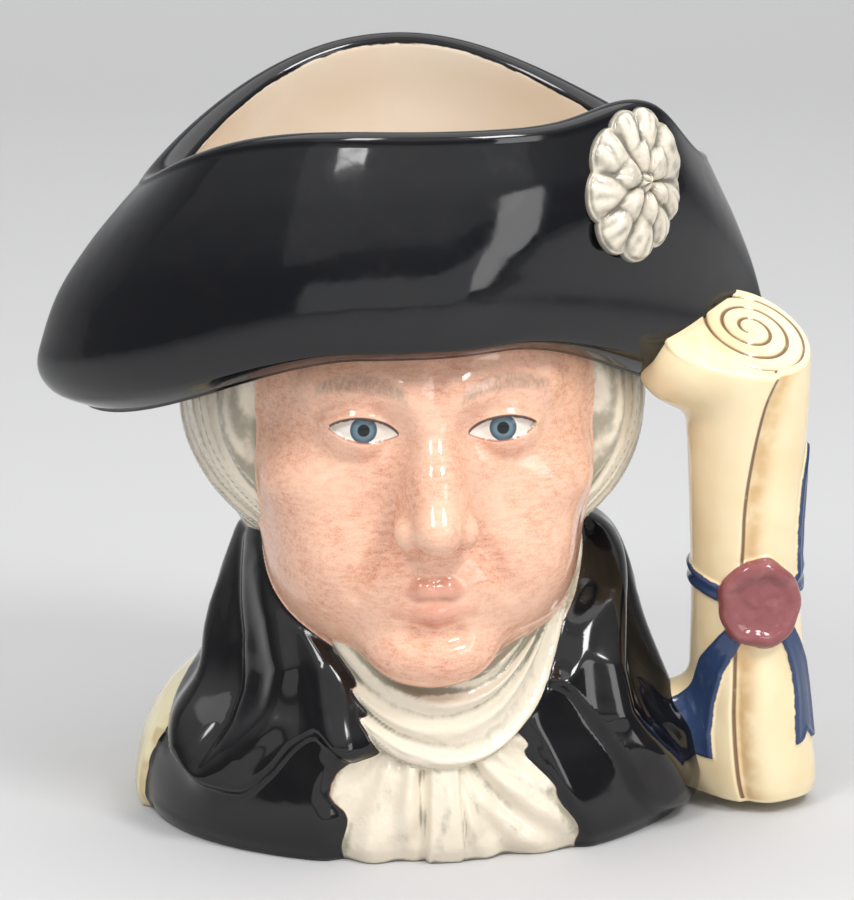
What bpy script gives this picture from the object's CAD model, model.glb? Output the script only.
import math
import bpy
import mathutils
import numpy as np
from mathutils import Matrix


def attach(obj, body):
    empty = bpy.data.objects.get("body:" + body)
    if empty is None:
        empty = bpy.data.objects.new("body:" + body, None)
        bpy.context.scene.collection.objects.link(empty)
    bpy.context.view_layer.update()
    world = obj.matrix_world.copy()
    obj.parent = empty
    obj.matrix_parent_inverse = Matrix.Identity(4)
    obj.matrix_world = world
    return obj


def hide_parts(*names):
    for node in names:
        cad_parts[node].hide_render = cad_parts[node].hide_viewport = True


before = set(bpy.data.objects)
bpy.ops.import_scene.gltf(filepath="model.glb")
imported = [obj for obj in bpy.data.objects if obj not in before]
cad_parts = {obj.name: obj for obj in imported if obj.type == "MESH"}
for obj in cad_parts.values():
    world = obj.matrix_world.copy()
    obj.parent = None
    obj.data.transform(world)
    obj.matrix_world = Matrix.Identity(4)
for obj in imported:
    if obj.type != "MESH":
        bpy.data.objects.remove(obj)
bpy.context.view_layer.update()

# The figure: coat, linen, face and wig, the lower part of a hollow slip-cast pot of white earthenware.
# It is cast in a two-part mould, so its surface is one skin, followed here outwards from the pot's axis,
# which stands a little beside the middle of the object's box. Lengths are in millimetres.
turn = 2 * np.pi
pot_middle = np.array([-3.8, 3.89, 0.0])
shoulder_width, coat_front, coat_back, collar_height, collar_width = 140, 59.5, 57, 74, 88
chin_height, face_height, face_width, face_front = 43, 111, 83, 58
wig_width, wig_depth, queue_thickness = 115, 118, 15
third, eye = face_height / 3, face_width / 5
mouth_line, nose_base = chin_height + 0.65 * third, chin_height + third
brow_line = chin_height + 2 * third
eye_line = brow_line - 0.25 * third


def through(stops, place):
    """A smooth run through (position, value) stops."""
    at, value = np.array(stops, float).T
    last = len(at) - 1
    i = np.clip(np.searchsorted(at, place, side="right") - 1, 0, last - 1)
    slope = np.array([(value[min(k + 1, last)] - value[max(k - 1, 0)])
                      / (at[min(k + 1, last)] - at[max(k - 1, 0)]) for k in range(last + 1)])
    span = at[i + 1] - at[i]
    t = np.clip((place - at[i]) / span, 0, 1)
    rise = t * t * (3 - 2 * t)
    return (value[i] + (value[i + 1] - value[i]) * rise
            + t * (1 - t) ** 2 * span * slope[i] + t * t * (t - 1) * span * slope[i + 1])


def step(x, low, high):
    t = np.clip((x - low) / (high - low), 0, 1)
    return t * t * (3 - 2 * t)


def join(a, b, blend):
    h = np.maximum(blend - np.abs(a - b), 0) / blend
    return np.minimum(a, b) - h * h * blend / 4


def cut(a, b, blend):
    return -join(-a, b, blend)


def overlap(a, b, blend):
    return -join(-a, -b, blend)


def ball(p, middle, radii):
    q = [(a - b) / r for a, b, r in zip(p, middle, radii)]
    near = np.sqrt(q[0] ** 2 + q[1] ** 2 + q[2] ** 2)
    steep = np.sqrt(sum((a / r) ** 2 for a, r in zip(q, radii)))
    return near * (near - 1) / np.maximum(steep, 1e-9)


def rod(p, a, b, ra, rb):
    d = [v - u for u, v in zip(a, b)]
    t = np.clip(sum((w - u) * k for w, u, k in zip(p, a, d)) / sum(k * k for k in d), 0, 1)
    near = np.sqrt(sum((w - u - k * t) ** 2 for w, u, k in zip(p, a, d)))
    return near - (ra + (rb - ra) * t)


def plane(depth):
    """A place in front of the face's plane, or behind it."""
    return -(face_front + depth)


def eyes(p):
    across = (p[0] - eye) / (0.5 * eye)
    arch = np.maximum(0, 1 - across ** 2)
    lift = 0.7 * across
    globe = ball(p, (eye, plane(-12.4), eye_line), (9.6, 9.6, 9.6))
    upper = overlap(globe - 1.5, eye_line + lift + 3.3 * arch ** 0.8 - 0.2 - p[2], 0.5)
    crease = np.sqrt((globe - 1.9) ** 2 + (p[2] - eye_line - lift - 3.3 * arch ** 0.8 - 2.1) ** 2) - 0.45
    upper = cut(upper, crease, 1.0)
    lower = overlap(globe - 1.15, p[2] - (eye_line + lift - 2.5 * arch ** 0.8 + 0.1), 0.6)
    return join(globe, join(upper, lower, 0.6), 0.35)


def nose(p):
    root, bridge = (0, plane(-3.6), eye_line + 4), (0, plane(4.2), nose_base + 17)
    tip = (0, plane(9.3), nose_base + 6.4)
    d = join(rod(p, root, bridge, 4.1, 4.4), rod(p, bridge, tip, 4.4, 6.0), 4)
    d = join(d, ball(p, (0, plane(-4), nose_base + 10), (9.2, 12.6, 15)), 5)
    wing = ball(p, (0.38 * eye, plane(2.8), nose_base + 4.6), (4.3, 6.6, 4.7))
    d = join(d, wing, 1.8)
    return cut(d, ball(p, (0.25 * eye, plane(6.6), nose_base + 0.2), (2.2, 3.6, 1.7)), 1.4)


def lips(p):
    corner = (0.8 * eye, plane(-5.2), mouth_line)
    peak = (0.17 * eye, plane(0.6), mouth_line + 2.7)
    upper = join(rod(p, (0, plane(0.5), mouth_line + 2.0), peak, 2.7, 2.7), rod(p, peak, corner, 2.7, 1.0), 1)
    lower = rod(p, (0, plane(-0.1), mouth_line - 3.1), (0.5 * eye, plane(-2.2), mouth_line - 2.2), 3.5, 2.3)
    lower = join(lower, rod(p, (0.5 * eye, plane(-2.2), mouth_line - 2.2), corner, 2.3, 1.0), 1.5)
    parting_end = (corner[0] + 0.5, corner[1] - 1.1, corner[2])
    parting = rod(p, (0, plane(3.6), mouth_line + 0.1), parting_end, 0.75, 0.6)
    return cut(join(upper, lower, 0.6), parting, 1.1)


def skin(x, y, z):
    p = (np.abs(x), y, z)
    half = face_width / 2
    d = ball(p, (0, plane(-50), brow_line - 4), (half * 1.13, 49, 1.5 * third))
    d = join(d, ball(p, (0, plane(-37), nose_base + 6), (half * 0.98, 35, 0.95 * third)), 8)
    d = join(d, ball(p, (0, plane(-33), mouth_line - 1), (half * 0.88, 32, 0.64 * third)), 10)
    d = join(d, ball(p, (0, plane(-7), chin_height + 9.5), (0.9 * eye, 10, 9)), 8)
    d = join(d, ball(p, (1.55 * eye, plane(-19), nose_base + 13), (0.8 * eye, 12, 9)), 9)
    d = join(d, ball(p, (1.2 * eye, plane(-17), mouth_line + 9), (0.8 * eye, 13, 14)), 9)
    brow_end = (1.5 * eye, plane(-13), brow_line + 0.5)
    d = join(d, rod(p, (0.35 * eye, plane(-4.5), brow_line - 1), brow_end, 5.5, 4.5), 6)
    d = cut(d, ball(p, (eye, plane(4.5), eye_line), (0.64 * eye, 8.5, 7.4)), 5)
    d = join(d, eyes(p), 0.9)
    d = join(d, nose(p), 4.5)
    fold_end = (1.05 * eye, plane(-4.5), mouth_line + 1)
    d = cut(d, rod(p, (0.62 * eye, plane(1.2), nose_base + 3), fold_end, 1.1, 0.6), 5)
    d = join(d, ball(p, (0, plane(-11.5), mouth_line + 1), (1.15 * eye, 13.2, 12)), 5)
    d = cut(d, rod(p, (0, plane(3.2), nose_base - 2), (0, plane(3.6), mouth_line + 5), 1.3, 1.5), 1.6)
    d = join(d, lips(p), 1.2)
    d = cut(d, rod(p, (0, plane(3), mouth_line - 9.2), (0.35 * eye, plane(1), mouth_line - 8.6), 1.6, 1), 4)
    neck = ball(p, (0, -4, chin_height + 10), (0.47 * collar_width, 43, 34))
    return join(d, neck, 3)


def strands(x, y, z):
    """Combed lines: they fall to a point in front of each ear, and at the back to the tie of the queue."""
    front = np.arctan2(z - chin_height - 22, y - plane(-20)) * 15
    back = np.arctan2(z - collar_height + 12, np.abs(x) + 1.5) * 15
    mix = step(y, -12, 34)
    return front * (1 - mix) + back * mix


def wig(x, y, z):
    middle = chin_height + 61
    comb = strands(x, y, z)
    relief = 0.6 * np.cos(comb) + 0.38 * np.cos(2.63 * comb + 1.1) + 0.14 * np.cos(5.3 * comb)
    mass = ball((x, y, z), (0, 3, middle), (wig_width / 2, wig_depth / 2, 0.41 * face_height))
    hairline = plane(-27) - 0.0035 * (z - middle) ** 2 + 0.5 * np.cos(comb) - y
    d = overlap(mass + relief, hairline, 2.5)
    thick, tie, back = queue_thickness / 2, collar_height + 4, wig_depth / 2
    tail_end = (0, coat_back + 0.5, 0.42 * collar_height)
    tail = rod((x, y, z), (0, back - 5, tie + 6), tail_end, thick, 0.75 * thick)
    return join(d, tail + 0.35 * np.cos(x * 2.2 + 0.3 * np.sin(z * 0.4)), 3)


def bow(x, y, z):
    back, tie = wig_depth / 2, collar_height + 4
    p = (np.abs(x), y, z)
    loops = ball(p, (11, back, tie), (11.5, 5, 7.5)) + 0.5 * np.cos((z - tie) * 1.1) * step(p[0], 3, 12)
    knot = ball(p, (0, back + 2.4, tie), (4.2, 4.4, 5.5))
    ends = rod(p, (3, back - 3, tie - 4), (9, coat_back - 9, tie - 24), 3, 4)
    return join(join(loops, knot, 1.2), ends, 1.5)


coat_left = [(0, 0.955), (0.06, 0.975), (0.2, 0.955), (0.3, 0.915), (0.39, 0.855), (0.5, 0.735),
             (0.64, 0.685), (0.88, 0.6), (1, 0.56)]
coat_right = [(0, 0.978), (0.06, 1), (0.2, 0.975), (0.3, 0.935), (0.39, 0.86), (0.5, 0.8),
              (0.64, 0.745), (0.88, 0.685), (1, 0.61)]
coat_depth = [(0, 0.965), (0.06, 1), (0.2, 0.99), (0.36, 0.925), (0.5, 0.86), (0.7, 0.77), (1, 0.68)]


def coat_mass(x, y, z):
    share = z / collar_height
    side = shoulder_width / 2 * np.where(x < 0, through(coat_left, share), through(coat_right, share))
    deep = np.where(y < 0, coat_front, coat_back) * through(coat_depth, share)
    return (np.hypot(x / side, y / deep) - 1) * np.minimum(side, deep)


def stock_edge(around):
    """Height of the stock's lower edge, by degrees round from the front."""
    return 23.5 + 8 * ((around - 3) / 22) ** 2


def windings(around, above):
    """How far a place lies across the windings of the stock."""
    return 0.9 * above + 0.10 * around * np.cos(0.3 * above) + 0.8 * np.sin(around * 0.09)


def gathers(around, z):
    """How far a place lies across the broad and the fine gathers of the shirt, fanned out from the throat."""
    fan = np.arctan2(around - 3, 34 - z + stock_edge(around) * 0.4)
    return 13 * fan + 0.5 * np.sin(0.35 * z), 29 * fan + 0.28 * z


def pleats(x, y, z):
    """How far a place lies across the folds of the linen, above the stock's edge and below it."""
    around = np.degrees(np.arctan2(x, -y))
    above = z - stock_edge(around)
    return np.where(above > 0, windings(around, above), gathers(around, z)[0])


def linen(x, y, z):
    """The stock wound round the neck, and below it the gathered shirt on both sides of its band."""
    around = np.degrees(np.arctan2(x, -y))
    edge = stock_edge(around)
    above = z - edge
    wind = np.sin(windings(around, above))
    wrap = 3.2 * step(above, -1.2, 1.6) + 1.05 * wind * step(above, 0.5, 4)
    broad, fine = gathers(around, z)
    gather = 1.25 * np.sin(broad) + 0.75 * np.sin(fine)
    side = np.abs(around - 2.8)
    band = 1.5 * step(3.6 + 0.035 * (23 - z) - side, -0.7, 0.7)
    below = step(-above, -0.5, 1.5)
    front = coat_mass(x, y, z) + 2.8 - wrap - below * (band + gather * step(side, 3.6, 6))
    throat = ball((x, y, z), (1, -14, edge + 14), (34, 38.5, 19)) - 0.8 * wind
    return join(front, throat, 4)


def crest(around, z, stops, width):
    """A rounded fold along (degrees round from the front, height, rise) stops."""
    rise = 0.0
    for (a0, z0, h0), (a1, z1, h1) in zip(stops, stops[1:]):
        u, v = 0.96 * (a1 - a0), z1 - z0
        s, w = 0.96 * (around - a0), z - z0
        t = np.clip((s * u + w * v) / (u * u + v * v), 0, 1)
        near = np.hypot(s - u * t, w - v * t) / width
        rise = np.maximum(rise, (h0 + (h1 - h0) * t) * np.exp(-near ** 2))
    return rise


left_opening = [(0, 25), (10, 25), (17, 26.3), (22.5, 24.5), (28, 18.6), (34, 19.6), (45, 24), (53, 34),
                (65, 54), (78, 80)]
right_opening = [(0, 38.5), (8, 35), (17, 31.7), (26, 28.9), (34, 26.3), (38, 30), (43, 40), (53, 50),
                 (61, 64), (76, 84)]
collar_edge_left = [(-180, 38), (-110, 37), (-84, 30), (-66, 20), (-57, 16.5), (-47, 15), (-40, 21),
                    (-35, 28), (-29, 31), (-20, 25)]
collar_edge_right = [(24, 60), (30, 44), (40, 38), (46, 26), (52, 12), (62, 4), (74, 6), (90, 26),
                     (110, 37), (180, 38)]


def drape(around, z):
    """How far the collar stands out: three folds on one side, two on the other, plain behind."""
    left = crest(around, z, [(-94, 70, 1.5), (-86, 52, 3.2), (-73, 35, 4), (-64, 24, 4), (-58, 19, 2.6)], 6)
    left = left + crest(around, z, [(-62, 66, 0.8), (-50, 56, 2.4), (-42, 45, 3), (-42, 34, 3),
                                    (-48, 25, 2.6), (-55, 19, 1.6)], 5)
    left = left + crest(around, z, [(-40, 54, 0.4), (-31, 46, 2), (-28, 38, 2.6), (-24, 30, 2.4)], 4.5)
    left = left - crest(around, z, [(-84, 69, 0.5), (-65, 48, 1.8), (-57, 30, 2), (-57, 21, 1.2)], 2.6)
    right = crest(around, z, [(84, 68, 1.5), (65, 57, 4), (53, 43, 5), (51, 32, 5), (56, 21, 4.2),
                              (64, 11, 2.6), (70, 5, 1)], 5.6)
    right = right + crest(around, z, [(98, 66, 1.5), (88, 50, 3), (77, 34, 3.6), (71, 22, 3),
                                      (72, 12, 1.6)], 6)
    right = right - crest(around, z, [(92, 66, 0.4), (78, 52, 2), (67, 36, 2.6), (64, 25, 1.6),
                                      (68, 15, 0.6)], 2.4)
    low = np.where(around < 0, through(collar_edge_left, around), through(collar_edge_right, around))
    turned = step(z - low, -1.4, 1.8)
    body = 0.5 * np.sin(0.07 * around + 0.1 * z)
    return 2.6 * turned + left + right + body


def coat(x, y, z):
    around = np.degrees(np.arctan2(x, -y))
    opening = np.where(x < 0, through(left_opening, z), through(right_opening, z))
    d = coat_mass(x, y, z) - drape(around, z)
    shut = (opening - np.abs(around)) * np.pi / 180 * np.hypot(x, y) + 0.9 * np.clip(d + 1, -14, 0)
    return overlap(overlap(d, 0.72 * shut, 2.6), z - collar_height, 5)


def epaulette(x, y, z):
    around = np.degrees(np.arctan2(np.abs(x), -y))
    front_end = 81 + 0.12 * np.maximum(0, 24 - z) - 0.012 * np.maximum(z - 10, 0) ** 2
    ends = np.maximum(front_end - around, around - 126)
    fringe = 0.4 * np.cos(around * 2.2) * step(28 - z, 0, 4)
    return overlap(coat_mass(x, y, z) - 2.2 - fringe, np.maximum(ends, z - 37), 1.5)


def figure_parts(x, y, z):
    return [f(x, y, z) for f in (skin, wig, linen, coat, epaulette, bow)]


def figure(x, y, z):
    face, hair, cloth, jacket, pad, ribbon = figure_parts(x, y, z)
    d = join(face, hair, 0.8)
    d = join(d, cloth, 0.8)
    d = join(d, pad, 0.6)
    d = join(d, jacket, 1)
    return join(d, ribbon, 1.2)


def reach(angle, z, steps=44):
    """Distance from the axis to the figure's outermost skin."""
    c, s = np.cos(angle), np.sin(angle)
    r = np.full(np.broadcast(angle, z).shape, 82.0)
    for _ in range(steps):
        r = r - 0.72 * figure(r * c, r * s, z)
    return r


brim_front_height, brim_side_height, brim_back_height, hat_tilt, foot_edge = 127, 105.5, 113, 2, 1.2


def turn_away(angle):
    """How far a direction lies from the front or the back, as a share of the quarter turn to the side."""
    return np.arccos(np.clip(np.abs(np.sin(angle)), 0, 1)) / (np.pi / 2)


def fold_height(angle):
    """Height of the fold of the hat's brim."""
    middle = np.where(np.sin(angle) < 0, brim_front_height, brim_back_height)
    share = step(turn_away(angle), 0.17, 1)
    return middle + (brim_side_height - middle) * share + hat_tilt * np.cos(angle)


def seat_height(angle):
    """Height at which the figure's skin goes on as the hat."""
    return fold_height(angle) + 1.5


def crowded(count, weight):
    """Directions round the pot, close together where the weight is high."""
    t = np.linspace(-0.5, 0.5, 2881)
    run = np.concatenate([[0], np.cumsum(weight(turn * (t[:-1] + t[1:]) / 2))])
    return turn * np.interp(np.arange(count) / count * run[-1], run, t) - np.pi / 2


def figure_crowding(away):
    """More columns over the face, and some more over the queue behind."""
    return 1 + 2.6 * np.exp(-(away / 0.8) ** 4) + 1.1 * np.exp(-((np.pi - np.abs(away)) / 0.3) ** 4)


rows = 222
columns = crowded(436, figure_crowding)


def evened(heights, passes):
    """Heights smoothed round the pot."""
    for _ in range(passes):
        heights = (np.roll(heights, 1, 1) + 2 * heights + np.roll(heights, -1, 1)) / 4
    return heights


coarse = columns[::4]
share = np.linspace(0, 1, 260)[:, None]
coarse_z = foot_edge + (seat_height(coarse) - foot_edge) * share
coarse_r = reach(coarse[None, :], coarse_z, 34)
length = np.hypot(np.diff(coarse_r, axis=0), np.diff(coarse_z, axis=0))
face_near = np.exp(-((coarse + np.pi / 2) / 0.85) ** 4) * np.exp(-((coarse_z[1:] - 84) / 34) ** 4)
run = np.cumsum(np.minimum(length, 3) * (1 + 0.8 * face_near), 0)
run = np.concatenate([np.zeros((1, len(coarse))), run])
row_z = np.stack([np.interp(np.linspace(0, run[-1, i], rows), run[:, i], coarse_z[:, i])
                  for i in range(len(coarse))], 1)
row_z = evened(row_z, 30)
low_z, high_z = foot_edge, seat_height(columns)
row_share = (row_z - low_z) / (seat_height(coarse) - low_z)
around_more = np.concatenate([coarse, [coarse[0] + turn]])
row_share = np.concatenate([row_share, row_share[:, :1]], 1)
fine_share = np.stack([np.interp(columns, around_more, s) for s in row_share])
skin_z = low_z + (high_z - low_z) * fine_share
skin_r = reach(columns[None, :], skin_z, 52)
skin_xyz = np.stack([skin_r * np.cos(columns), skin_r * np.sin(columns), skin_z], -1)
foot_r = skin_r[0]


def ring(inset, z):
    r = foot_r - inset
    return np.stack([r * np.cos(columns), r * np.sin(columns), np.full(len(columns), z)], -1)


underside = np.stack([ring(40, 1.5), ring(9, 1.5), ring(7.6, 1.3), ring(7, 0), ring(1.6, 0), ring(0.45, 0.3)])
figure_grid = np.concatenate([underside, skin_xyz])


def piece(name, grid, closed_start=None, closed_end=None):
    """A mesh from rows of points that run round. An end is closed to a point where one is given."""
    count, around, _ = grid.shape
    points = grid.reshape(-1, 3)
    i = np.arange((count - 1) * around).reshape(count - 1, around)
    nxt = np.roll(i, -1, 1)
    quads = np.stack([i, nxt, nxt + around, i + around], -1).reshape(-1, 4)
    triangles = []
    for end, first in ((closed_start, 0), (closed_end, (count - 1) * around)):
        if end is not None:
            edge = first + np.arange(around)
            tip = np.full(around, len(points))
            points = np.concatenate([points, [end]])
            pair = [tip, np.roll(edge, -1), edge] if first == 0 else [tip, edge, np.roll(edge, -1)]
            triangles.append(np.stack(pair, -1))
    mesh = bpy.data.meshes.new(name)
    faces = quads.tolist() + [f for t in triangles for f in t.tolist()]
    mesh.from_pydata(((points + pot_middle) * 0.001).tolist(), [], faces)
    mesh.polygons.foreach_set("use_smooth", np.ones(len(faces), bool))
    mesh.update()
    made = bpy.data.objects.new(name, mesh)
    bpy.context.collection.objects.link(made)
    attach(made, "root")
    return made, points


def note(made, name, values):
    """Keeps a number for each point of a mesh, for its material to read."""
    kept = made.data.attributes.new(name, "FLOAT", "POINT")
    kept.data.foreach_set("value", np.asarray(values, np.float32).ravel())


figure_piece, figure_points = piece("figure", figure_grid, closed_start=[0, 0, 1.5])
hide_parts("jug")

px, py, pz = figure_points.T
parts = figure_parts(px, py, pz)
for k, name in enumerate(["skin_edge", "hair_edge", "linen_edge", "coat_edge", "pad_edge", "bow_edge"]):
    others = np.min([parts[j] for j in range(len(parts)) if j != k], 0)
    note(figure_piece, name, np.clip(others - parts[k], -6, 6))

normal = np.empty(len(figure_points) * 3)
figure_piece.data.vertices.foreach_get("normal", normal)
normal = normal.reshape(-1, 3)
for name, far in (("hollow_fine", 1.4), ("hollow_wide", 4.5)):
    away = figure_points + normal * far
    note(figure_piece, name, np.clip(1 - figure(*away.T) / far, -0.5, 1.5))
note(figure_piece, "comb", strands(px, py, pz))
note(figure_piece, "pleat", pleats(px, py, pz))
note(figure_piece, "behind", py > 5)
before = np.where(py < plane(-26), 0.0, 40.0)
across = np.abs(px) - eye
arch = np.maximum(0, 1 - (across / (0.5 * eye)) ** 2) ** 0.8
lid_line = eye_line + 0.7 * across / (0.5 * eye)
note(figure_piece, "iris", np.hypot(across, pz - eye_line - 0.5) + before)
note(figure_piece, "upper_lid", np.where(arch > 0, lid_line + 3.3 * arch - pz, -9) - before)
note(figure_piece, "lower_lid", np.where(arch > 0, pz - lid_line + 2.5 * arch, -9) - before)
bow_of_brow = brow_line + 2.6 - 0.024 * (across - 1) ** 2
brow_gap = np.maximum(np.abs(pz - bow_of_brow) - 2.1 + 0.05 * np.abs(across), np.abs(across - 0.5) - 10.5)
note(figure_piece, "brow", brow_gap + before)
note(figure_piece, "mouth", lips((np.abs(px), py, pz)) + before)


class Wire:
    """A socket of a material, which is reckoned with like a number."""

    def __init__(self, tree, socket=None):
        self.tree, self.socket = tree, socket

    def node(self, kind, settings=(), inputs=(), output=0):
        made = self.tree.nodes.new("ShaderNode" + kind)
        for name, value in dict(settings).items():
            setattr(made, name, value)
        for name, value in dict(inputs).items():
            if isinstance(value, Wire):
                self.tree.links.new(value.socket, made.inputs[name])
            else:
                made.inputs[name].default_value = value
        return Wire(self.tree, made.outputs[output])

    def sum_of(self, operation, first, second=0.0):
        return self.node("Math", {"operation": operation}, {0: first, 1: second})

    def __add__(self, other):
        return self.sum_of("ADD", self, other)

    __radd__ = __add__

    def __sub__(self, other):
        return self.sum_of("SUBTRACT", self, other)

    def __rsub__(self, other):
        return self.sum_of("SUBTRACT", other, self)

    def __mul__(self, other):
        return self.sum_of("MULTIPLY", self, other)

    __rmul__ = __mul__

    def between(self, low, high):
        """0 below the one value, 1 above the other, smooth in between."""
        return self.node("MapRange", {"interpolation_type": "SMOOTHSTEP"}, {0: self, 1: low, 2: high})

    def value_of(self, name):
        """The number that note() has kept for the mesh's points."""
        return self.node("Attribute", {"attribute_name": name}, output=2)

    def noise(self, size, detail=3.0, rough=0.55, stretch=(1, 1, 1)):
        """Cloudy noise from 0 to 1, its spots about as many millimetres wide as the size says."""
        scale = tuple(1000 / size / s for s in stretch)
        place = self.node("TexCoord", output=3)
        place = self.node("VectorMath", {"operation": "MULTIPLY"}, {0: place, 1: scale})
        return self.node("TexNoise", (), {"Vector": place, "Scale": 1, "Detail": detail, "Roughness": rough})

    def over(self, base, colour, share):
        """The colour laid over the base, as strongly as the share says."""
        return self.node("Mix", {"data_type": "RGBA"}, {0: share, 6: base, 7: colour}, 2)


def tint(red, green, blue):
    """A colour from the values of a screen's red, green and blue."""
    screen = red / 255, green / 255, blue / 255
    return (*[((v + 0.055) / 1.055) ** 2.4 if v > 0.04 else v / 12.92 for v in screen], 1.0)


def glazed(made, paint, roughness=0.08, ripple=0.12):
    """Lays a clear glaze over what paint(wire) gives: a colour and a height in millimetres."""
    material = bpy.data.materials.new(made.name + "_glaze")
    material.use_nodes = True
    tree = material.node_tree
    shader = tree.nodes["Principled BSDF"]
    shader.inputs["IOR"].default_value = 1.52
    wire = Wire(tree)
    colour, height = paint(wire)
    pool = wire.noise(11, 1.5) * ripple + wire.noise(2.2, 2) * (ripple * 0.06)
    bump = wire.node("Bump", {}, {"Strength": 1.0, "Distance": 0.001, "Height": pool + height})
    rough = wire.noise(5, 2).between(0.35, 0.8) * 0.05 + roughness
    for name, source in (("Base Color", colour), ("Roughness", rough), ("Normal", bump)):
        tree.links.new(source.socket, shader.inputs[name])
    made.data.materials.append(material)


def flesh_paint(wire, fine, wide):
    """Flesh with a red-brown wash stippled over it, darker in the hollows, and red on the lips."""
    stipple = wire.noise(0.42, 2, 0.75).between(0.36, 0.62)
    streak = wire.noise(1.5, 4, 0.65, (2.4, 1, 0.8)).between(0.35, 0.7)
    cloud = wire.noise(15, 2).between(0.3, 0.7)
    wash = 0.3 + cloud * 0.36 + wide.between(0.05, 0.8) * 0.26
    wash = wash * (0.35 + 0.65 * streak) * (0.5 + 0.5 * stipple)
    flesh = wire.over(tint(250, 206, 178), tint(196, 96, 58), wash)
    flesh = wire.over(flesh, tint(170, 80, 50), fine.between(0.5, 1.2) * 0.5)
    return wire.over(flesh, tint(190, 96, 82), (0.9 - wire.value_of("mouth")).between(-0.1, 0.9) * 0.42)


def eye_paint(wire, flesh):
    """Grey brows, and eyes with a blue-grey iris, a black pupil and brown lids, laid over the flesh."""
    thin_hair = wire.noise(0.8, 3, 0.6, (1, 1, 2.4)).between(0.3, 0.7)
    brow = (0.0 - wire.value_of("brow")).between(-0.9, 0.9) * (0.25 + 0.55 * thin_hair)
    flesh = wire.over(flesh, tint(176, 150, 132), brow)
    upper, lower, iris = wire.value_of("upper_lid"), wire.value_of("lower_lid"), wire.value_of("iris")
    opened = wire.sum_of("MINIMUM", upper, lower).between(-0.1, 0.15)
    ball_white = wire.over(tint(236, 226, 214), tint(196, 150, 128), (0.9 - upper).between(0, 0.8) * 0.5)
    ring = wire.over(tint(104, 128, 140), tint(62, 82, 98), iris.between(1.9, 3.1))
    ring = wire.over(ring, tint(14, 14, 18), 1.0 - iris.between(1.35, 1.6))
    painted = wire.over(ball_white, ring, 1.0 - iris.between(3.1, 3.35))
    flesh = wire.over(flesh, painted, opened)
    lash = (1.0 - wire.sum_of("ABSOLUTE", upper + 0.15).between(0.25, 0.6)) * (lower + 0.7).between(0.0, 0.5)
    flesh = wire.over(flesh, tint(46, 30, 26), lash * 0.9)
    under = (1.0 - wire.sum_of("ABSOLUTE", lower).between(0.05, 0.35)) * (upper + 0.4).between(0.0, 0.4)
    return wire.over(flesh, tint(150, 84, 64), under * 0.6)


def figure_paint(wire):
    """The figure's colours, each laid over its own part, and the fine relief of the hair and the linen."""
    fine, wide = wire.value_of("hollow_fine"), wire.value_of("hollow_wide")
    flesh = eye_paint(wire, flesh_paint(wire, fine, wide))
    combed = wire.sum_of("SINE", wire.value_of("comb") * 6 + wire.noise(3) * 3)
    grey = (fine * 1.3 + combed * 0.34 + wire.noise(3.4, 3) * 0.9 - 0.18).between(0.05, 0.95)
    hair = wire.over(tint(238, 227, 206), tint(142, 136, 116), grey * 0.8)
    fold = wire.sum_of("SINE", wire.value_of("pleat") * 2.1 + wire.noise(5, 3) * 5)
    gather = fine * 1.6 + wide * 0.4 + wire.noise(2.6, 4, 0.6, (1, 1, 2)) * 1.1 + fold * 0.24 - 0.5
    cloth = wire.over(tint(232, 221, 201), tint(130, 127, 108), gather.between(0.05, 0.85) * 0.85)
    black = wire.over(tint(13, 13, 16), tint(34, 26, 22), wire.noise(9, 2).between(0.4, 0.9) * 0.5)
    worn = (fine * 1.1 + wire.noise(3) * 0.4).between(0.25, 0.95) * 0.6
    pad = wire.over(tint(238, 226, 184), tint(184, 150, 92), worn)
    waver = (wire.noise(2.6, 2) - 0.5) * 0.8

    def mask(name, soft=0.18):
        return (wire.value_of(name) + waver).between(-soft, soft)

    colour = wire.over(flesh, black, wire.value_of("behind").between(0.3, 0.7))
    colour = wire.over(colour, hair, mask("hair_edge"))
    colour = wire.over(colour, cloth, (wire.value_of("linen_edge") + waver * 0.5).between(-0.15, 0.15))
    colour = wire.over(colour, pad, mask("pad_edge"))
    colour = wire.over(colour, black, (wire.value_of("coat_edge") + waver * 0.35).between(-0.15, 0.15))
    colour = wire.over(colour, black, mask("bow_edge"))
    return colour, combed * (0.1 * mask("hair_edge")) + fold * (0.12 * mask("linen_edge"))


glazed(figure_piece, figure_paint)


# The hat and the hollow of the pot: its turned-up brim is the mouth of the jug. It is one casting with the
# figure, painted black outside and over the lip, while the inside shows the cream body under the clear glaze.
hat_left, hat_right, hat_front, hat_back = 93.3, 89, 67.5, 63.9
mouth_left, mouth_right, mouth_front, mouth_back = 65.8, 72, 55, 50
rim_front_height, rim_back_height, rim_corner_height, rim_peak = 178.5, 187.5, 162, 9
wall, lip, lip_lift, floor_thickness = 4, 5, 2.5, 6
fold_share, lip_share = 0.06, 0.965
hat_low = [(0, 0.89), (fold_share, 0.965), (0.16, 1), (0.3, 0.985)]
hat_left_lengths = hat_low + [(0.5, 0.94), (0.7, 0.862), (0.86, 0.783), (1, mouth_left / hat_left)]
hat_right_lengths = hat_low + [(0.5, 0.95), (0.7, 0.9), (0.86, 0.852), (1, mouth_right / hat_right)]
hat_depths = [(0, 0.93), (0.05, 0.985), (0.14, 1), (0.35, 0.99), (0.7, 0.91)]
hat_front_depths = hat_depths + [(1, mouth_front / hat_front)]
hat_back_depths = hat_depths + [(1, mouth_back / hat_back)]


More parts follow.
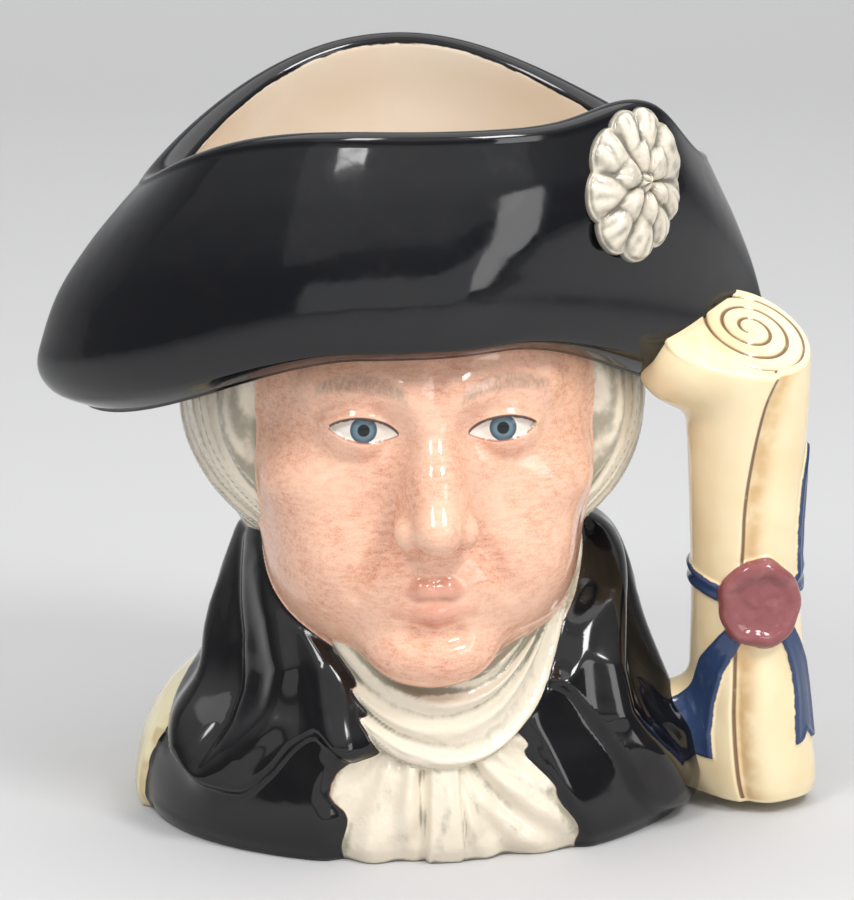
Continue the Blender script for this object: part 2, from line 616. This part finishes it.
def oval(angle, long, deep, share):
    """Reach of a pointed oval. The quarter between the front and the handle is straighter, low down."""
    beside = np.where((np.cos(angle) > 0) & (np.sin(angle) < 0), 1 - step(share, 0.25, 0.8), 0)
    a, b = 2 - 0.4 * beside, 1.42 - 0.34 * beside
    c, s = np.abs(np.cos(angle)) / long, np.abs(np.sin(angle)) / deep
    r = 1 / np.maximum(c, s)
    for _ in range(14):
        over = (r * c) ** a + (r * s) ** b - 1
        r = r - over / (a * c ** a * r ** (a - 1) + b * s ** b * r ** (b - 1))
    return r


def rim_height(angle):
    """Height of the rim: low at both corners, high behind, with a peak over the cockade."""
    away = turn_away(angle)
    corner = rim_corner_height + hat_tilt * np.cos(angle)
    rise = (1 - away) ** 2 * 1.09 / (1.09 - away)
    full = np.where(np.cos(angle) > 0, 1.25, 1)
    back = corner + (rim_back_height - corner) * np.sin(rise * np.pi / 2) ** full
    peak = np.where(np.cos(angle) > 0, np.exp(-((away - 0.68) / np.where(away < 0.68, 0.24, 0.15)) ** 2), 0)
    front = corner + (rim_front_height - corner) * (1 - (1 - rise) ** 3) + rim_peak * peak
    return np.where(np.sin(angle) > 0, back, front)


def hat_point(angle, share, inset):
    """A point of the hat, from 0 at the fold of the brim to 1 at the rim. Inset is clay taken off."""
    long = np.where(np.cos(angle) > 0, hat_right * through(hat_right_lengths, share),
                    hat_left * through(hat_left_lengths, share))
    deep = np.where(np.sin(angle) < 0, hat_front * through(hat_front_depths, share),
                    hat_back * through(hat_back_depths, share))
    r = oval(angle, long - 1.8 * inset, deep - inset, share)
    fold = fold_height(angle)
    return r, fold + (rim_height(angle) - fold) * share


def hat_crowding(away):
    """More columns at the two corners of the hat."""
    return 1 + 1.8 * np.exp(-((np.abs(away) - np.pi / 2) / 0.2) ** 2)


hat_columns = crowded(340, hat_crowding)


def placed(angle, r, z):
    return np.stack(np.broadcast_arrays(r * np.cos(angle), r * np.sin(angle), z), -1)


def hat_row(share, inset, lift=0.0):
    r, z = hat_point(hat_columns, share, inset)
    return placed(hat_columns, r, z + lift)


def inside_row(share):
    inset = lip if share > 0.9 else wall + (lip - wall) * (share / 0.9) ** 4
    return hat_row(share, inset, wall * (1 - share))


fold_inset = 1.6
seat_r, seat_z = reach(hat_columns, seat_height(hat_columns), 52), seat_height(hat_columns)
under_r = hat_point(hat_columns, 0.0, 0)[0] - fold_inset
outside = [placed(hat_columns, seat_r - 3, seat_z + 3)]
outside += [placed(hat_columns, seat_r + (under_r - seat_r) * t, seat_z - 1.9 * t)
            for t in np.linspace(0, 1, 12)]
outside += [hat_row(fold_share * t ** 1.6, fold_inset * (1 - t) ** 2) for t in np.linspace(0, 1, 9)[1:]]
outside += [hat_row(share, 0) for share in np.linspace(fold_share, lip_share, 60)[1:]]
over_lip = [hat_row(lip_share, lip * (1 - np.cos(a)) / 2, lip_lift * np.sin(a))
            for a in np.linspace(0, np.pi, 15)[1:-1]]
inside = [inside_row(share) for share in np.linspace(lip_share, 0.08, 46)]

hollow_sides, hollow_steps = 72, 44
corner_round, corner_height, hollow_depth = 6, 7, 110


def hollow_height(angle, level):
    """Height of a place in the hollow, from 0 at its floor to 1 where it meets the inside of the hat."""
    return floor_thickness + (seat_height(angle) + wall - 1 - floor_thickness) * level


def moved_up(table, count):
    """A table's rows moved up by some rows, with the end row repeated."""
    return table[np.clip(np.arange(len(table)) + count, 0, len(table) - 1)]


hollow_turns = np.linspace(-np.pi, np.pi, hollow_sides + 1)[:-1] - np.pi / 2
hollow_z = hollow_height(hollow_turns, np.linspace(0, 1, hollow_steps)[:, None])
probe = reach(hollow_turns[None, :], np.clip(hollow_z, foot_edge, seat_height(hollow_turns)), 40)
least = probe
for across_by in (-2, -1, 0, 1, 2):
    for up_by in (-3, -2, -1, 0, 1, 2, 3):
        least = np.minimum(least, moved_up(np.roll(probe, across_by, 1), up_by))
for _ in range(5):
    least = evened(least, 1)
    least = (moved_up(least, -1) + 2 * least + moved_up(least, 1)) / 4
hollow_r = least - wall + 0.6
more_turns = np.concatenate([hollow_turns, [hollow_turns[0] + turn]])
hollow_rows = []
for level in np.linspace(1, 0, 70):
    k = level * (hollow_steps - 1)
    low = min(int(k), hollow_steps - 2)
    r = hollow_r[low] * (1 - (k - low)) + hollow_r[low + 1] * (k - low)
    r = np.interp(hat_columns, more_turns, np.concatenate([r, r[:1]]))
    corner = max(0, 1 - (level * hollow_depth) / corner_height)
    r = r - corner_round * (1 - math.sqrt(max(0, 1 - corner ** 2)))
    hollow_rows.append(placed(hat_columns, r, hollow_height(hat_columns, level)))
flat = [placed(hat_columns, (hollow_r[0].min() - 8) * t, floor_thickness) for t in (0.75, 0.5, 0.25)]
hat_grid = np.stack(outside + over_lip + inside + hollow_rows + flat)
hat_piece, _ = piece("hat", hat_grid, closed_end=[0, 0, floor_thickness])
rows_in = np.arange(len(hat_grid))[:, None] - len(outside) - len(over_lip) + np.zeros(len(hat_columns))
note(hat_piece, "inside", np.append(np.clip(rows_in.ravel(), -6, 6), 6))


def hat_paint(wire):
    black = wire.over(tint(13, 14, 18), tint(30, 24, 22), wire.noise(10, 2).between(0.45, 0.9) * 0.4)
    cream = wire.over(tint(250, 239, 224), tint(243, 222, 196), wire.noise(26, 2).between(0.3, 0.8) * 0.5)
    edge = (wire.value_of("inside") + (wire.noise(7, 3) - 0.5) * 2.4).between(-0.2, 0.2)
    return wire.over(black, cream, edge), 0.0


glazed(hat_piece, hat_paint)


# The cockade: two rounds of cast petals about a small flower, pressed on the hat below the rim's peak with
# slip. It is left white, with a grey-green wash wiped into its hollows.
cockade_height, cockade_width, cockade_lean, cockade_thickness = 38, 30.5, 0.7, 4.4
cockade_turn, cockade_share, rim_thickness = 0.86 - np.pi / 2, 0.715, 0.24
sides, rounds = 300, 90


def on_hat(angle, share):
    r, z = hat_point(angle, share, 0)
    return np.array([r * np.cos(angle), r * np.sin(angle), z], float)


middle = on_hat(cockade_turn, cockade_share)
along = on_hat(cockade_turn + 0.05, cockade_share) - middle
upwards = on_hat(cockade_turn, cockade_share + 0.05) - middle
along, upwards = along / np.linalg.norm(along), upwards / np.linalg.norm(upwards)
outwards = np.cross(along, upwards)
outwards /= np.linalg.norm(outwards)
c, s = math.cos(cockade_lean), math.sin(cockade_lean)
along, upwards = along * c - np.cross(outwards, along) * s, upwards * c - np.cross(outwards, upwards) * s


def petals(rho, theta):
    """Height of the cast flower, and the edge of its outer petals, by share of the radius and direction."""
    wave = theta + 0.10 * np.sin(2 * theta + 1) + 0.07 * np.sin(3 * theta)
    outer = np.abs(np.sin(4.5 * wave))
    inner = np.abs(np.sin(3 * wave + 0.9 + 0.15 * np.sin(theta)))
    crimp = np.sin(27 * wave + 9 * rho) * step(rho, 0.55, 0.8)
    edge = 0.9 + 0.1 * outer ** 0.6
    out_r = rho / edge
    outer_h = (0.2 + 0.58 * outer ** 0.6) * np.sqrt(np.clip(1 - ((out_r - 0.62) / 0.39) ** 2, 0, 1))
    outer_h = outer_h + 0.045 * crimp
    in_r = rho / (0.5 + 0.1 * inner ** 0.6)
    inner_h = (0.4 + 0.68 * inner ** 0.6) * np.sqrt(np.clip(1 - ((in_r - 0.55) / 0.46) ** 2, 0, 1))
    heart = 1.12 * np.sqrt(np.clip(1 - (rho / 0.17) ** 2, 0, 1)) * (0.85 + 0.15 * np.cos(5 * theta))
    height = np.maximum(np.maximum(outer_h, inner_h), np.maximum(heart, rim_thickness))
    return np.where(out_r > 0.96, np.minimum(height, rim_thickness), height), edge


def evened_up(table):
    """Heights smoothed from the middle outwards, with both end rows kept."""
    return np.concatenate([table[:1], (table[:-2] + 2 * table[1:-1] + table[2:]) / 4, table[-1:]])


theta = np.linspace(0, turn, sides + 1)[:-1][None, :]
rho = np.linspace(1, 0, rounds + 1)[:-1][:, None]
raised, edge = petals(rho * (0.9 + 0.1 * np.abs(np.sin(4.5 * theta)) ** 0.6), theta)
raised = evened_up(evened(raised, 1))


def laid(wide, lift):
    """Points of the flower bent to the hat, for shares of the half width and heights in thicknesses."""
    u, v = cockade_width / 2 * wide * np.cos(theta), cockade_height / 2 * wide * np.sin(theta)
    flat = middle + u[..., None] * along + v[..., None] * upwards
    bend = 0.0085 * u ** 2 + 0.004 * v ** 2
    return flat + (lift * cockade_thickness - bend)[..., None] * outwards


under_edge, under_lift = np.array([[0.9], [1.0], [1.02]]), np.array([[-0.3], [-0.16], [0.0]])
skirt = laid(under_edge * edge, under_lift)
cockade_grid = np.concatenate([skirt, laid(rho * edge, raised)])
cockade_piece, _ = piece("cockade", cockade_grid, closed_start=middle - 1.3 * outwards,
                         closed_end=middle + 1.12 * cockade_thickness * outwards)
wide_mean = raised
for _ in range(26):
    wide_mean = evened_up(evened(wide_mean, 1))
deep = np.clip((wide_mean - raised) * 5, -1, 1)
note(cockade_piece, "hollow_fine", np.concatenate([np.full(len(skirt) * sides, 0.9), deep.ravel(), [0, 0]]))


def cockade_paint(wire):
    wash = (wire.value_of("hollow_fine") * 1.5 + wire.noise(2.4, 3) * 1.1 - 0.1).between(0.0, 1.1)
    white = wire.over(tint(224, 214, 196), tint(112, 108, 96), wash * 0.9)
    warm = wire.noise(6, 2).between(0.55, 0.9) * 0.3
    speck = wire.noise(0.5, 1).between(0.74, 0.8) * 0.5
    return wire.over(wire.over(white, tint(222, 204, 190), warm), tint(110, 108, 96), speck), 0.0


glazed(cockade_piece, cockade_paint)


# The handle: a rolled sheet made as a hollow casting of its own, luted to the hat and the shoulder with two
# wads of clay. A ribbon ties it at its waist under a pressed seal, both modelled in the clay. It is painted
# under the glaze.
scroll_reach, scroll_splay, scroll_forward, scroll_lean = 80.2, 6.5, 25.6, 13
scroll_bottom, scroll_top, scroll_step = 3, 125, 1.6
spiral_depth, spiral_radius, sheet_pitch, spiral_start = 0.75, 13.9, 4.2, 25
ribbon_width, ribbon_thickness, cloth_per_degree = 5, 1.1, 0.245
seal_diameter, seal_thickness, seal_height, seal_place, seal_reach = 23.4, 2.9, 56.6, 5, 1.3
side_columns, side_rows, edge_rows, end_rings, edge_round = 300, 240, 5, 58, 1.2
scroll_girth = [(3, 14), (6, 14.9), (12, 15.3), (27, 14.9), (41, 14.2), (53, 13.6), (71, 13.7), (93, 14.5),
                (106, 15.3), (118, 15.4), (126, 15.2)]
upper_wad = (-11, 3, 116.5), (17, 14, 12)
lower_wad = (-16.7, -2, 18.2), (20.5, 10.6, 14)
sheet_edge = [(3, -25), (10, -26), (26, -25.5), (34, -23.5), (43, -21.5), (57, -17), (72, -13), (79, -12),
              (86, -9.5), (96, -3.7), (103, 1.3), (109, 7), (114, 15), (118, 24), (128, 30)]


def scroll_axis(z):
    """The middle of the scroll: it bends out at the foot, and leans forward at the head."""
    low = 1 - np.clip((z - scroll_bottom) / (scroll_top - scroll_bottom), 0, 1)
    return scroll_reach + scroll_splay * (0.3 * low + 0.7 * low ** 4), -scroll_forward + scroll_lean * low


def scroll_end(u, v):
    """Height of the roll's upper end, cut aslant."""
    return scroll_top - 0.9 - 0.47 * v - 0.22 * u


def past_edge(around, z):
    """Degrees round from the sheet's free edge, towards the right."""
    return np.mod(around - through(sheet_edge, z), 360)


def rolled(around, z):
    """Radius of the bare roll: it grows by the sheet's thickness once round, then steps down at the edge."""
    past = past_edge(around, z)
    over = step(past, 0, 5)
    r = through(scroll_girth, z) + scroll_step * (over * (past / 360 - 0.5) + 0.5 * (1 - over))
    near = np.minimum(past, 360 - past) * r * np.pi / 180
    r = r - 0.8 * np.exp(-((near - 0.1) / 0.5) ** 2)
    roll = np.exp(-((past - 26) / 17) ** 2) * step(46 - z, 0, 14)
    return r + 1.1 * roll - 0.6 * np.exp(-((past + 2) / 10) ** 2) * step(46 - z, 0, 14)


def tied(around, z):
    """How far a place lies inside the edge of the ribbon, in millimetres of cloth."""
    s = around * cloth_per_degree

    def strip(stops):
        """How far a place lies inside a strip along (degrees, height, width as a share) stops."""
        near = np.full(np.broadcast(s, z).shape, 99.0)
        for (a0, z0, w0), (a1, z1, w1) in zip(stops, stops[1:]):
            u, v = cloth_per_degree * (a1 - a0), z1 - z0
            for lap in (0, 360):
                along, up = s - cloth_per_degree * (a0 + lap), z - z0
                t = np.clip((along * u + up * v) / (u * u + v * v), 0, 1)
                half = (w0 + (w1 - w0) * t) * ribbon_width / 2
                near = np.minimum(near, np.hypot(along - u * t, up - v * t) - half)
        return -near

    band = strip([(-30, 58.5, 0.85), (-60, 60.5, 0.9), (-92, 62, 1), (-140, 63.5, 1), (-190, 64, 1),
                  (-240, 63.5, 1), (-275, 62, 1), (-320, 58.5, 0.85)])
    loop = strip([(70, 59, 0.8), (65, 67, 0.75), (66, 76, 0.8), (72, 86, 0.9), (88, 93, 0.9), (104, 88, 0.95),
                  (106, 76, 0.9), (98, 63, 0.8)])
    left = strip([(-20, 49, 1), (-33, 44.5, 1.2), (-48, 39, 1.5), (-60, 30, 1.7), (-66, 22, 1.9),
                  (-67, 13, 2)])
    right = strip([(36, 49, 1.1), (46, 44, 1.3), (55, 38, 1.6), (58, 31, 1.7), (56, 23, 1.8), (54, 14, 1.9)])
    left = np.minimum(left, z - 15.2 - 2.6 * np.exp(-((around + 72) / 9) ** 2) + 0.03 * (around + 72))
    right = np.minimum(right, z - 18 - 2.6 * np.exp(-((around - 55) / 7) ** 2))
    return np.maximum(np.maximum(band, loop), np.maximum(left, right))


def pressed(around, z):
    """The seal: how far a place lies inside its edge, and its surface's distance from the scroll's axis."""
    a = np.radians(np.mod(around - seal_place + 180, 360) - 180)
    front = through(scroll_girth, z) + seal_thickness
    c, k = np.cos(a), np.sin(a) ** 2 / 19
    face = np.where(np.abs(a) < seal_reach, 2 * front / (c + np.sqrt(c * c + 2 * k * front)), 99)
    u = face * np.sin(a)
    w = z - seal_height
    turn_in = np.arctan2(w, u)
    uneven = 1 + 0.018 * np.sin(5 * turn_in + 1) + 0.012 * np.sin(9 * turn_in + 2)
    edge = seal_diameter / 2 * uneven - np.hypot(u, w)
    middle = seal_diameter / 2 - edge
    face = face - 1.0 * step(7.6 - middle, -0.8, 1.4) - 1.2 * np.exp(-(edge / 1.1) ** 2)
    face = face + 0.3 * np.exp(-((middle - 9.2) / 1.5) ** 2) + 0.16 * np.sin(4 * turn_in + middle)
    return np.where(np.abs(a) < seal_reach, edge, -9), face


def handle_skin(u, v, z):
    """The scroll with what is on it and the two wads of clay, measured from the scroll's own leaning axis."""
    around = np.degrees(np.arctan2(u, v))
    r = np.hypot(u, v)
    ribbon = tied(around, z)
    edge, face = pressed(around, z)
    girth = rolled(around, z)
    girth = girth + ribbon_thickness * step(ribbon, -0.45, 0.7) - 0.35 * step(ribbon, 0.4, 2.4)
    girth = np.maximum(girth, np.where(edge > -1, girth + (face - girth) * step(edge, -0.5, 0.45), girth))
    return join(join(r - girth, ball((u, v, z), *upper_wad), 5), ball((u, v, z), *lower_wad), 6)


turns = np.linspace(-180, 180, side_columns + 1)[:-1] + 90
cos_a, sin_a = np.cos(np.radians(turns)), np.sin(np.radians(turns))


def handle_reach(z):
    """Distance from the scroll's axis to its skin."""
    r = np.full(np.broadcast(turns, z).shape, 46.0)
    for _ in range(40):
        r = r - 0.75 * handle_skin(r * sin_a, r * cos_a, z)
    return r


end_r = handle_reach(np.full((1, side_columns), 120.0))
for _ in range(3):
    end_r = handle_reach(scroll_end(end_r * sin_a, end_r * cos_a) - edge_round)
end_z = scroll_end(end_r * sin_a, end_r * cos_a) - edge_round
start_z = scroll_bottom + edge_round
side_z = start_z + (end_z - start_z) * np.linspace(0, 1, side_rows)[:, None]
side_r = handle_reach(side_z)


def on_handle(r, z):
    middle_x, middle_y = scroll_axis(z)
    return np.stack(np.broadcast_arrays(middle_x + r * sin_a, middle_y - r * cos_a, z), -1)


def edge_row(side, z, up, angle):
    """A row of the rounded edge between the side and an end."""
    return on_handle(side - edge_round * (1 - np.cos(angle)), z + up * edge_round * np.sin(angle))


bevel = np.linspace(0, np.pi / 2, edge_rows + 1)[1:]
top_r, low_r = side_r[-1:], side_r[:1]
top_edge = [edge_row(top_r, end_z, 1, a) for a in bevel]
foot_edge_rows = [edge_row(low_r, start_z, -1, a) for a in bevel[::-1]]
foot_z = np.full((1, side_columns), scroll_bottom)
foot_cap = [on_handle((low_r - edge_round) * k, foot_z) for k in (0.4, 0.8)]
cap = []
coil_gap = []
for k in np.linspace(1, 0, end_rings + 2)[1:-1]:
    r = (top_r - edge_round) * k
    wound = np.mod((spiral_radius - r) / sheet_pitch * 360 + spiral_start - turns, 360)
    gap = np.minimum(wound, 360 - wound) / 360 * sheet_pitch
    gap = np.where((r > spiral_radius + 0.3) | (r < 1.5), sheet_pitch / 2, gap)
    coil_gap.append(gap)
    swell = 0.9 * (1 - k ** 2) - spiral_depth * np.exp(-(gap / 0.42) ** 2)
    cap.append(on_handle(r, scroll_end(r * sin_a, r * cos_a) + swell))
handle_grid = np.concatenate(foot_cap + foot_edge_rows + [on_handle(side_r, side_z)] + top_edge + cap)
foot_point, top_point = [*scroll_axis(scroll_bottom), scroll_bottom], [*scroll_axis(scroll_top), scroll_top]
handle_piece, handle_points = piece("scroll", handle_grid, closed_start=foot_point, closed_end=top_point)
hz = handle_points[:, 2]
middle_x, middle_y = scroll_axis(hz)
hu, hv = handle_points[:, 0] - middle_x, middle_y - handle_points[:, 1]
around = np.degrees(np.arctan2(hu, hv))
side_from = (len(foot_cap) + edge_rows) * side_columns
side_to = side_from + side_rows * side_columns
number = np.arange(len(handle_points))
on_side = (number >= side_from) & (number < side_to)
lug_near = np.minimum(ball((hu, hv, hz), *upper_wad), ball((hu, hv, hz), *lower_wad))
note(handle_piece, "ribbon_edge", np.where(on_side, np.clip(tied(around, hz), -6, 6), -6))
note(handle_piece, "seal_edge", np.where(on_side, np.clip(pressed(around, hz)[0], -6, 6), -6))
past = past_edge(around, hz)
near_edge = np.minimum(past, 360 - past) * np.hypot(hu, hv) * np.pi / 180
line = np.where(on_side, near_edge, 3)
cap_from = side_to + edge_rows * side_columns
line[cap_from:cap_from + end_rings * side_columns] = np.concatenate(coil_gap).ravel()
note(handle_piece, "drawn_line", np.clip(line, 0, 6))
note(handle_piece, "fold_shade", np.where(on_side, np.exp(-((past - 9) / 12) ** 2), 0))
note(handle_piece, "wad", np.clip(-lug_near / 5, -1, 1))


def scroll_paint(wire):
    patch = wire.noise(14, 2)
    sheet = wire.over(tint(250, 232, 192), tint(236, 208, 154), patch.between(0.3, 0.8) * 0.5)
    shade = wire.value_of("fold_shade") * 0.75 + wire.value_of("wad").between(-0.4, 1.0) * 0.45
    sheet = wire.over(sheet, tint(206, 160, 98), shade * wire.noise(6, 2).between(0.1, 0.7))
    line = 1.0 - wire.value_of("drawn_line").between(0.2, 0.65)
    sheet = wire.over(sheet, tint(106, 66, 40), line * wire.noise(3.5, 3).between(0.15, 0.4) * 0.9)
    waver = (wire.noise(1.8, 3) - 0.5) * 0.5
    worn = wire.noise(2.6, 4, 0.6, (1, 1, 2.5)).between(0.55, 0.85) * 0.6
    blue = wire.over(tint(50, 68, 104), tint(110, 130, 158), worn)
    on_ribbon = (wire.value_of("ribbon_edge") + waver).between(-0.12, 0.12)
    colour = wire.over(sheet, blue, on_ribbon)
    red = wire.over(tint(144, 82, 84), tint(180, 124, 120), wire.noise(4, 3).between(0.4, 0.85) * 0.4)
    on_seal = (wire.value_of("seal_edge") + waver * 0.6).between(-0.35, -0.1)
    return wire.over(colour, red, on_seal), 0.0


glazed(handle_piece, scroll_paint)


# The photographer's table and light: a pale sheet curved up behind the jug, six soft lamps, a bright ceiling
# and a long lens that looks down a little from the front.
bend = [(1.1 + 0.6 * math.sin(a), 0.6 - 0.6 * math.cos(a)) for a in np.linspace(0, np.pi / 2, 17)]
profile = [(-3.0, 0.0)] + bend + [(1.7, 2.2)]
sweep = bpy.data.meshes.new("sweep")
sweep.from_pydata([(x, y, z) for y, z in profile for x in (-3.5, 3.5)], [],
                  [(2 * i, 2 * i + 1, 2 * i + 3, 2 * i + 2) for i in range(len(profile) - 1)])
sweep.polygons.foreach_set("use_smooth", np.ones(len(profile) - 1, bool))
ground = bpy.data.objects.new("sweep", sweep)
bpy.context.collection.objects.link(ground)
pale = bpy.data.materials.new("pale_table")
pale.use_nodes = True
pale.node_tree.nodes["Principled BSDF"].inputs["Base Color"].default_value = (0.55, 0.55, 0.555, 1)
pale.node_tree.nodes["Principled BSDF"].inputs["Roughness"].default_value = 0.8
ground.data.materials.append(pale)


def softbox(name, place, size, power, look=(0, 0, 0.09)):
    light = bpy.data.lights.new(name, "AREA")
    light.shape, light.size, light.size_y, light.energy = "RECTANGLE", size[0], size[1], power
    made = bpy.data.objects.new(name, light)
    bpy.context.collection.objects.link(made)
    made.location = place
    way = mathutils.Vector(look) - mathutils.Vector(place)
    made.rotation_euler = way.to_track_quat("-Z", "Y").to_euler()


softbox("front_sky", (-0.2, -1.9, 1.75), (4.6, 1.5), 6)
softbox("window_left", (-0.55, -0.75, 1.15), (0.3, 0.45), 6)
softbox("key_right", (1.0, -1.2, 0.5), (0.45, 0.7), 3.4)
softbox("low_fill", (-0.1, -1.5, 0.3), (2.2, 0.5), 2.6)
softbox("window_right", (0.55, -0.7, 1.1), (0.34, 0.34), 8)
softbox("overhead", (0, 0.35, 1.9), (2.6, 2.2), 21)
world = bpy.data.worlds.new("studio")
bpy.context.scene.world = world
world.use_nodes = True
ceiling = Wire(world.node_tree)
height = ceiling.node("SeparateXYZ", {}, {0: ceiling.node("TexCoord")}, 2)
shade = ceiling.over(tint(134, 135, 137), tint(255, 255, 255), height.between(0.2, 0.85))
world.node_tree.links.new(shade.socket, world.node_tree.nodes["Background"].inputs[0])
world.node_tree.nodes["Background"].inputs[1].default_value = 0.74

view_turn, view_rise, view_far, view_width, film_width = math.radians(-5), math.radians(14), 1.1, 0.2135, 36
camera = bpy.data.objects.new("camera", bpy.data.cameras.new("camera"))
bpy.context.collection.objects.link(camera)
level = math.cos(view_rise)
back = mathutils.Vector((math.sin(view_turn) * level, -math.cos(view_turn) * level, math.sin(view_rise)))
aim = mathutils.Vector(np.array([0.00324, -0.00028, 0.0895]) + pot_middle * 0.001)
camera.location = aim + back * view_far
camera.rotation_euler = back.to_track_quat("Z", "Y").to_euler()
camera.data.sensor_fit = "HORIZONTAL"
camera.data.sensor_width = film_width
camera.data.lens = film_width * view_far / view_width
bpy.context.scene.camera = camera
bpy.context.scene.view_settings.view_transform = "Standard"
